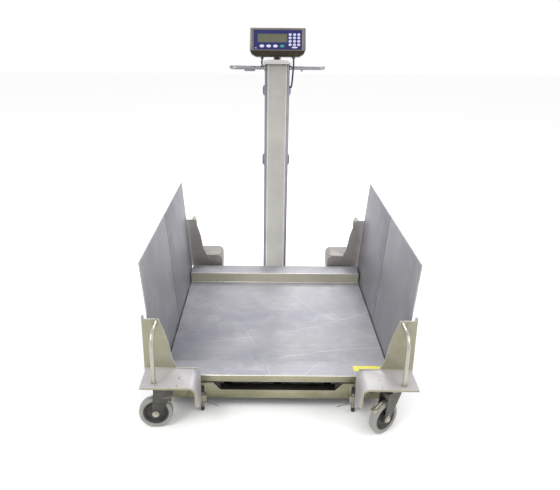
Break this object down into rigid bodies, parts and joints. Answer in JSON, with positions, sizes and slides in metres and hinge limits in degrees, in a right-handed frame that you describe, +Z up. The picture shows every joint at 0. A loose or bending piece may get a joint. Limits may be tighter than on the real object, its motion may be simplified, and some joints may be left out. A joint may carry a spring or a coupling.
{
  "type": "animal weighing scale",
  "caption": "Mobile stainless floor scale for animals: deck on load cells, fold-up side ramps, caster brackets, screw feet and an indicator on a column.",
  "frame": {"origin": "on the floor below the middle of the whole object", "axes": "+Z up, +X to the right as seen by a person facing the indicator, +Y from the open front end towards the column"},
  "size_m": [1.0314, 1.4172, 1.3925],
  "materials": {
    "deck_steel": "glass-bead blasted stainless plate, satin, scuffed",
    "frame_steel": "stainless sections, satin, warm reflections",
    "ramp_sheet": "stainless sheet, smooth, bluish grey",
    "bracket_steel": "thick stainless plate, satin, welded",
    "rod_steel": "polished stainless round bar",
    "cell_steel": "machined stainless",
    "fork_steel": "dark pressed steel",
    "zinc_steel": "zinc-plated steel",
    "core_plastic": "dark moulded wheel centre",
    "tyre_rubber": "grey non-marking rubber",
    "foot_rubber": "black moulded rubber",
    "column_steel": "satin stainless tube and sheet",
    "neck_black": "black moulded plastic",
    "housing_steel": "satin stainless enclosure",
    "overlay_film": "printed navy keypad film",
    "lcd_glass": "clear window over an olive display",
    "cable_black": "black cable sheath"
  },
  "bodies": {
    "scale": {"base_frame": "frame_steel", "deck": "deck_steel", "load_cell_left_front": "cell_steel", "load_cell_left_rear": "cell_steel", "load_cell_right_front": "cell_steel", "load_cell_right_rear": "cell_steel", "hinge_rod_left": "rod_steel", "hinge_rod_right": "rod_steel", "bracket_left_front": "bracket_steel", "bracket_mount_left_front": "bracket_steel", "handle_left_front": "rod_steel", "caster_plate_left_front": "zinc_steel", "bracket_left_rear": "bracket_steel", "bracket_mount_left_rear": "bracket_steel", "handle_left_rear": "rod_steel", "caster_plate_left_rear": "zinc_steel", "bracket_right_front": "bracket_steel", "bracket_mount_right_front": "bracket_steel", "handle_right_front": "rod_steel", "caster_plate_right_front": "zinc_steel", "bracket_right_rear": "bracket_steel", "bracket_mount_right_rear": "bracket_steel", "handle_right_rear": "rod_steel", "caster_plate_right_rear": "zinc_steel", "column": "column_steel", "column_cap": "column_steel", "hand_loop_left": "rod_steel", "hand_loop_right": "rod_steel", "cable_hook_lower": "column_steel", "cable_hook_upper": "column_steel", "neck": "neck_black", "lead_left": "cable_black", "lead_right": "cable_black"},
    "ramp_left_front": {"ramp_left_front": "ramp_sheet"},
    "ramp_left_rear": {"ramp_left_rear": "ramp_sheet"},
    "ramp_right_front": {"ramp_right_front": "ramp_sheet"},
    "ramp_right_rear": {"ramp_right_rear": "ramp_sheet"},
    "caster_left_front": {"fork_left_front": "fork_steel"},
    "wheel_left_front": {"wheel_core_left_front": "core_plastic", "tyre_left_front": "tyre_rubber"},
    "caster_left_rear": {"fork_left_rear": "fork_steel"},
    "wheel_left_rear": {"wheel_core_left_rear": "core_plastic", "tyre_left_rear": "tyre_rubber"},
    "caster_right_front": {"fork_right_front": "fork_steel"},
    "wheel_right_front": {"wheel_core_right_front": "core_plastic", "tyre_right_front": "tyre_rubber"},
    "caster_right_rear": {"fork_right_rear": "fork_steel"},
    "wheel_right_rear": {"wheel_core_right_rear": "core_plastic", "tyre_right_rear": "tyre_rubber"},
    "foot_pad_left_front": {"foot_pad_left_front": "foot_rubber"},
    "foot_stud_left_front": {"foot_stud_left_front": "zinc_steel"},
    "jam_lever_left_front": {"jam_lever_left_front": "zinc_steel"},
    "foot_pad_right_front": {"foot_pad_right_front": "foot_rubber"},
    "foot_stud_right_front": {"foot_stud_right_front": "zinc_steel"},
    "jam_lever_right_front": {"jam_lever_right_front": "zinc_steel"},
    "indicator": {"terminal_housing": "housing_steel", "terminal_overlay": "overlay_film", "terminal_display": "lcd_glass", "tilt_bracket": "neck_black", "tilt_bolt": "neck_black"}
  },
  "joints": [
    {"name": "ramp_fold_left_front", "type": "hinge", "parent": "scale", "child": "ramp_left_front", "pos_m": [-0.463, -0.2735, 0.072], "axis": [0, -1, 0], "range_deg": [-4, 93]},
    {"name": "ramp_fold_left_rear", "type": "hinge", "parent": "scale", "child": "ramp_left_rear", "pos_m": [-0.463, 0.2735, 0.072], "axis": [0, -1, 0], "range_deg": [-4, 93]},
    {"name": "ramp_fold_right_front", "type": "hinge", "parent": "scale", "child": "ramp_right_front", "pos_m": [0.463, -0.2735, 0.072], "axis": [0, 1, 0], "range_deg": [-4, 93]},
    {"name": "ramp_fold_right_rear", "type": "hinge", "parent": "scale", "child": "ramp_right_rear", "pos_m": [0.463, 0.2735, 0.072], "axis": [0, 1, 0], "range_deg": [-4, 93]},
    {"name": "caster_swivel_left_front", "type": "hinge", "parent": "scale", "child": "caster_left_front", "pos_m": [-0.415, -0.6385, 0.165], "axis": [0, 0, 1], "continuous": true},
    {"name": "wheel_spin_left_front", "type": "hinge", "parent": "caster_left_front", "child": "wheel_left_front", "pos_m": [-0.45291, -0.64115, 0.0625], "axis": [0.0698, -0.9976, 0], "continuous": true},
    {"name": "caster_swivel_left_rear", "type": "hinge", "parent": "scale", "child": "caster_left_rear", "pos_m": [-0.415, 0.6385, 0.165], "axis": [0, 0, 1], "continuous": true},
    {"name": "wheel_spin_left_rear", "type": "hinge", "parent": "caster_left_rear", "child": "wheel_left_rear", "pos_m": [-0.38465, 0.66137, 0.0625], "axis": [-0.6018, 0.7986, 0], "continuous": true},
    {"name": "caster_swivel_right_front", "type": "hinge", "parent": "scale", "child": "caster_right_front", "pos_m": [0.415, -0.6385, 0.165], "axis": [0, 0, 1], "continuous": true},
    {"name": "wheel_spin_right_front", "type": "hinge", "parent": "caster_right_front", "child": "wheel_right_front", "pos_m": [0.38465, -0.66137, 0.0625], "axis": [0.6018, -0.7986, 0], "continuous": true},
    {"name": "caster_swivel_right_rear", "type": "hinge", "parent": "scale", "child": "caster_right_rear", "pos_m": [0.415, 0.6385, 0.165], "axis": [0, 0, 1], "continuous": true},
    {"name": "wheel_spin_right_rear", "type": "hinge", "parent": "caster_right_rear", "child": "wheel_right_rear", "pos_m": [0.45291, 0.64115, 0.0625], "axis": [-0.0698, 0.9976, 0], "continuous": true},
    {"name": "foot_travel_left_front", "type": "slide", "parent": "scale", "child": "foot_pad_left_front", "axis": [0, 0, 1], "range_m": [0, 0.016]},
    {"name": "foot_turn_left_front", "type": "hinge", "parent": "foot_pad_left_front", "child": "foot_stud_left_front", "pos_m": [-0.2915, -0.5505, 0.06], "axis": [0, 0, 1], "range_deg": [0, 3291.43]},
    {"name": "jam_turn_left_front", "type": "hinge", "parent": "scale", "child": "jam_lever_left_front", "pos_m": [-0.2915, -0.5505, 0.042], "axis": [0, 0, -1], "range_deg": [0, 60]},
    {"name": "foot_travel_right_front", "type": "slide", "parent": "scale", "child": "foot_pad_right_front", "axis": [0, 0, 1], "range_m": [0, 0.016]},
    {"name": "foot_turn_right_front", "type": "hinge", "parent": "foot_pad_right_front", "child": "foot_stud_right_front", "pos_m": [0.2915, -0.5505, 0.06], "axis": [0, 0, 1], "range_deg": [0, 3291.43]},
    {"name": "jam_turn_right_front", "type": "hinge", "parent": "scale", "child": "jam_lever_right_front", "pos_m": [0.2915, -0.5505, 0.042], "axis": [0, 0, 1], "range_deg": [0, 60]},
    {"name": "indicator_tilt", "type": "hinge", "parent": "scale", "child": "indicator", "pos_m": [0, 0.655, 1.306], "axis": [1, 0, 0], "range_deg": [-20, 10], "deforming": ["lead_left", "lead_right"]}
  ],
  "couplings": [
    {"joint": "foot_turn_left_front", "follows": "foot_travel_left_front", "rad_per_m": 3590.4},
    {"joint": "foot_turn_right_front", "follows": "foot_travel_right_front", "rad_per_m": 3590.4}
  ]
}
